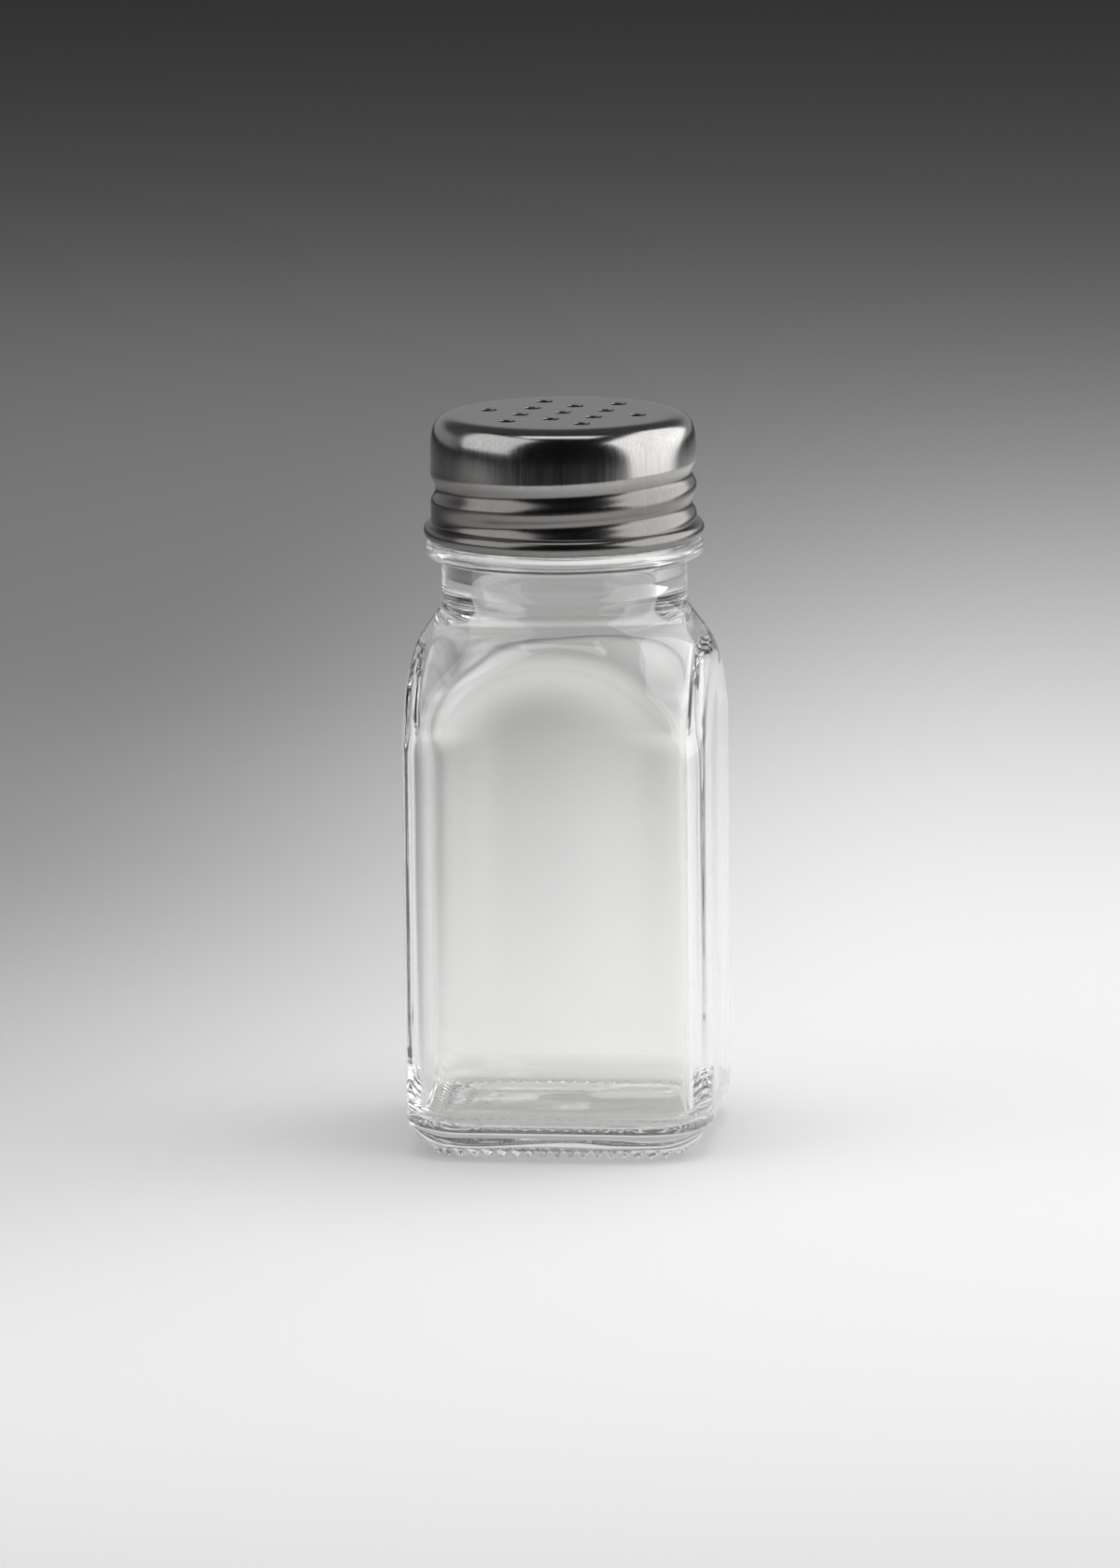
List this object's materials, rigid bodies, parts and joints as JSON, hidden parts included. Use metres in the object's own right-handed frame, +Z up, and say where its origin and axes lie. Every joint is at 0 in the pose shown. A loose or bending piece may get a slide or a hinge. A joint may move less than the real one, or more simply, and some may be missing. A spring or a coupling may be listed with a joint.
{
  "type": "salt shaker",
  "caption": "Square clear glass salt shaker with a domed shoulder and a perforated stainless steel screw cap that unscrews from its threaded neck.",
  "frame": {"origin": "under the middle of the base, on the surface the shaker stands on", "axes": "+Z up along the axis of the neck and cap, -Y out of the front face, +X to the right of the front face"},
  "size_m": [0.04, 0.04, 0.095],
  "materials": {
    "clear_glass": "clear, smooth",
    "seal_plastic": "translucent, matt",
    "stainless_steel": "stamped, finely brushed"
  },
  "bodies": {
    "jar": {"glass_jar": "clear_glass"},
    "seal": {"sealing_ring": "seal_plastic"},
    "cap": {"shaker_cap": "stainless_steel"}
  },
  "joints": [
    {"name": "cap_lift", "type": "slide", "parent": "jar", "child": "seal", "axis": [0, 0, 1], "range_m": [0, 0.0078]},
    {"name": "cap_turn", "type": "hinge", "parent": "seal", "child": "cap", "pos_m": [0, 0, 0.0788], "axis": [0, 0, 1], "range_deg": [0, 720]}
  ],
  "couplings": [
    {"joint": "cap_lift", "follows": "cap_turn", "m_per_rad": 0.0006207}
  ]
}
